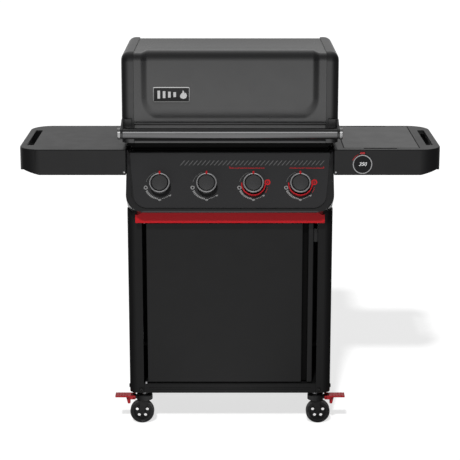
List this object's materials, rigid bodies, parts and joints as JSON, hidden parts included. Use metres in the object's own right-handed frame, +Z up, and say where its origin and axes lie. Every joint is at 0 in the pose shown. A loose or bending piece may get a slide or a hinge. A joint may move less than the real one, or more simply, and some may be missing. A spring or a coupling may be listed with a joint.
{
  "type": "gas barbecue grill",
  "caption": "Cart-mounted gas barbecue grill with a hinged lid, side tables, burner knobs, cabinet door, pull-out grease tray and braked casters.",
  "frame": {"origin": "centre of the footprint on the floor, under the middle of the whole grill", "axes": "+X to the right seen from the front, +Y to the back, +Z up; the door, the knobs and the handle face -Y"},
  "size_m": [1.304, 0.558, 1.194],
  "materials": {
    "cart_black": "satin black powder coat",
    "door_black": "smooth satin black paint",
    "cast_black": "satin black paint on cast aluminium",
    "lid_black": "charcoal porcelain enamel, satin",
    "enamel_black": "black porcelain enamel",
    "grate_iron": "enamelled cast iron, fine grain",
    "panel_black": "fine textured black coat",
    "gloss_black": "glossy black moulding",
    "table_grey": "fine textured charcoal moulding",
    "insert_grey": "fine textured charcoal board",
    "black_plastic": "matt black moulding",
    "knob_black": "matt black knob with a silver ring",
    "lens_black": "dark clear lens",
    "tray_red": "satin red powder coat",
    "button_red": "red moulding",
    "lever_red": "red moulding",
    "stainless": "brushed stainless steel",
    "handle_steel": "dark brushed steel, drawn along its length",
    "cast_silver": "bright satin cast aluminium",
    "chrome_wire": "bright plated wire",
    "zinc_steel": "zinc plated steel",
    "valve_brass": "machined brass",
    "foil": "thin bright foil",
    "ceramic": "white glazed ceramic with a steel tip",
    "dark_bolt": "black oxide",
    "wheel_grey": "grey tread on a black hub"
  },
  "bodies": {
    "frame": {"burner_tubes": "stainless", "cart_back": "cart_black", "cart_bolts": "dark_bolt", "cart_floor": "cart_black", "cart_rails": "cart_black", "cart_side_left": "cart_black", "cart_side_right": "cart_black", "caster_stems": "zinc_steel", "control_bezel": "gloss_black", "control_panel": "panel_black", "cookbox": "cast_black", "cooking_grates": "grate_iron", "display_glass": "lens_black", "display_housing": "black_plastic", "door_catch": "black_plastic", "gas_manifold": "zinc_steel", "gas_valves": "valve_brass", "heat_tents": "enamel_black", "igniter_electrodes": "ceramic", "lid_hinge_brackets": "zinc_steel", "side_table_left": "table_grey", "side_table_right": "table_grey", "table_arms": "cart_black", "tool_rails": "black_plastic", "tray_runners": "zinc_steel", "warming_rack": "chrome_wire"},
    "lid": {"lid_skin": "lid_black", "lid_end_cap_left": "cast_black", "lid_end_cap_right": "cast_black", "lid_handle_tube": "handle_steel", "lid_handle_brackets": "cast_silver", "lid_handle_caps": "cast_silver", "lid_badge": "black_plastic"},
    "door": {"door_panel": "door_black", "door_handle": "door_black", "door_hinge_pins": "zinc_steel"},
    "tray": {"tray_front": "tray_red", "grease_tray": "zinc_steel", "drip_pan": "foil"},
    "insert": {"prep_insert": "insert_grey"},
    "display_key": {"display_button": "button_red"},
    "stem_1": {"valve_stem_1": "zinc_steel"},
    "knob_1": {"knob_1": "knob_black"},
    "stem_2": {"valve_stem_2": "zinc_steel"},
    "knob_2": {"knob_2": "knob_black"},
    "stem_3": {"valve_stem_3": "zinc_steel"},
    "knob_3": {"knob_3": "knob_black"},
    "stem_4": {"valve_stem_4": "zinc_steel"},
    "knob_4": {"knob_4": "knob_black"},
    "fork_front_left": {"caster_fork_front_left": "black_plastic"},
    "wheel_front_left": {"caster_wheel_front_left": "wheel_grey"},
    "fork_front_right": {"caster_fork_front_right": "black_plastic"},
    "wheel_front_right": {"caster_wheel_front_right": "wheel_grey"},
    "fork_rear_left": {"caster_fork_rear_left": "black_plastic"},
    "wheel_rear_left": {"caster_wheel_rear_left": "wheel_grey"},
    "fork_rear_right": {"caster_fork_rear_right": "black_plastic"},
    "wheel_rear_right": {"caster_wheel_rear_right": "wheel_grey"},
    "lever_left": {"brake_lever_left": "lever_red"},
    "lever_right": {"brake_lever_right": "lever_red"}
  },
  "joints": [
    {"name": "lid_hinge", "type": "hinge", "parent": "frame", "child": "lid", "pos_m": [0, 0.264, 0.93], "axis": [-1, 0, 0], "range_deg": [0, 80]},
    {"name": "door_hinge", "type": "hinge", "parent": "frame", "child": "door", "pos_m": [-0.265, -0.196, 0.4], "axis": [0, 0, -1], "range_deg": [0, 100]},
    {"name": "tray_slide", "type": "slide", "parent": "frame", "child": "tray", "axis": [0, -1, 0], "range_m": [0, 0.3]},
    {"name": "insert_lift", "type": "slide", "parent": "frame", "child": "insert", "axis": [0, 0, 1], "range_m": [0, 0.06]},
    {"name": "display_press", "type": "slide", "parent": "frame", "child": "display_key", "axis": [0, 1, 0], "range_m": [0, 0.0015], "stiffness_N_per_m": 600},
    {"name": "burner_turn_1", "type": "hinge", "parent": "frame", "child": "stem_1", "pos_m": [-0.2145, -0.21331, 0.78573], "axis": [0, -0.8519, 0.5237], "range_deg": [0, 235]},
    {"name": "knob_push_1", "type": "slide", "parent": "stem_1", "child": "knob_1", "axis": [0, 0.8519, -0.5237], "range_m": [0, 0.004], "stiffness_N_per_m": 800},
    {"name": "burner_turn_2", "type": "hinge", "parent": "frame", "child": "stem_2", "pos_m": [-0.0715, -0.21331, 0.78573], "axis": [0, -0.8519, 0.5237], "range_deg": [0, 235]},
    {"name": "knob_push_2", "type": "slide", "parent": "stem_2", "child": "knob_2", "axis": [0, 0.8519, -0.5237], "range_m": [0, 0.004], "stiffness_N_per_m": 800},
    {"name": "burner_turn_3", "type": "hinge", "parent": "frame", "child": "stem_3", "pos_m": [0.0715, -0.21331, 0.78573], "axis": [0, -0.8519, 0.5237], "range_deg": [0, 280]},
    {"name": "knob_push_3", "type": "slide", "parent": "stem_3", "child": "knob_3", "axis": [0, 0.8519, -0.5237], "range_m": [0, 0.004], "stiffness_N_per_m": 800},
    {"name": "burner_turn_4", "type": "hinge", "parent": "frame", "child": "stem_4", "pos_m": [0.2145, -0.21331, 0.78573], "axis": [0, -0.8519, 0.5237], "range_deg": [0, 280]},
    {"name": "knob_push_4", "type": "slide", "parent": "stem_4", "child": "knob_4", "axis": [0, 0.8519, -0.5237], "range_m": [0, 0.004], "stiffness_N_per_m": 800},
    {"name": "caster_swivel_front_left", "type": "hinge", "parent": "frame", "child": "fork_front_left", "pos_m": [-0.2724, -0.1665, 0.088], "axis": [0, 0, 1], "continuous": true},
    {"name": "wheel_roll_front_left", "type": "hinge", "parent": "fork_front_left", "child": "wheel_front_left", "pos_m": [-0.2804, -0.1665, 0.038], "axis": [0, 1, 0], "continuous": true},
    {"name": "caster_swivel_front_right", "type": "hinge", "parent": "frame", "child": "fork_front_right", "pos_m": [0.2724, -0.1665, 0.088], "axis": [0, 0, 1], "continuous": true},
    {"name": "wheel_roll_front_right", "type": "hinge", "parent": "fork_front_right", "child": "wheel_front_right", "pos_m": [0.2804, -0.1665, 0.038], "axis": [0, 1, 0], "continuous": true},
    {"name": "caster_swivel_rear_left", "type": "hinge", "parent": "frame", "child": "fork_rear_left", "pos_m": [-0.2724, 0.1665, 0.088], "axis": [0, 0, 1], "continuous": true},
    {"name": "wheel_roll_rear_left", "type": "hinge", "parent": "fork_rear_left", "child": "wheel_rear_left", "pos_m": [-0.2804, 0.1665, 0.038], "axis": [0, 1, 0], "continuous": true},
    {"name": "caster_swivel_rear_right", "type": "hinge", "parent": "frame", "child": "fork_rear_right", "pos_m": [0.2724, 0.1665, 0.088], "axis": [0, 0, 1], "continuous": true},
    {"name": "wheel_roll_rear_right", "type": "hinge", "parent": "fork_rear_right", "child": "wheel_rear_right", "pos_m": [0.2804, 0.1665, 0.038], "axis": [0, 1, 0], "continuous": true},
    {"name": "brake_left", "type": "hinge", "parent": "fork_front_left", "child": "lever_left", "pos_m": [-0.306, -0.1665, 0.086], "axis": [0, -1, 0], "range_deg": [0, 18]},
    {"name": "brake_right", "type": "hinge", "parent": "fork_front_right", "child": "lever_right", "pos_m": [0.306, -0.1665, 0.086], "axis": [0, 1, 0], "range_deg": [0, 18]}
  ]
}
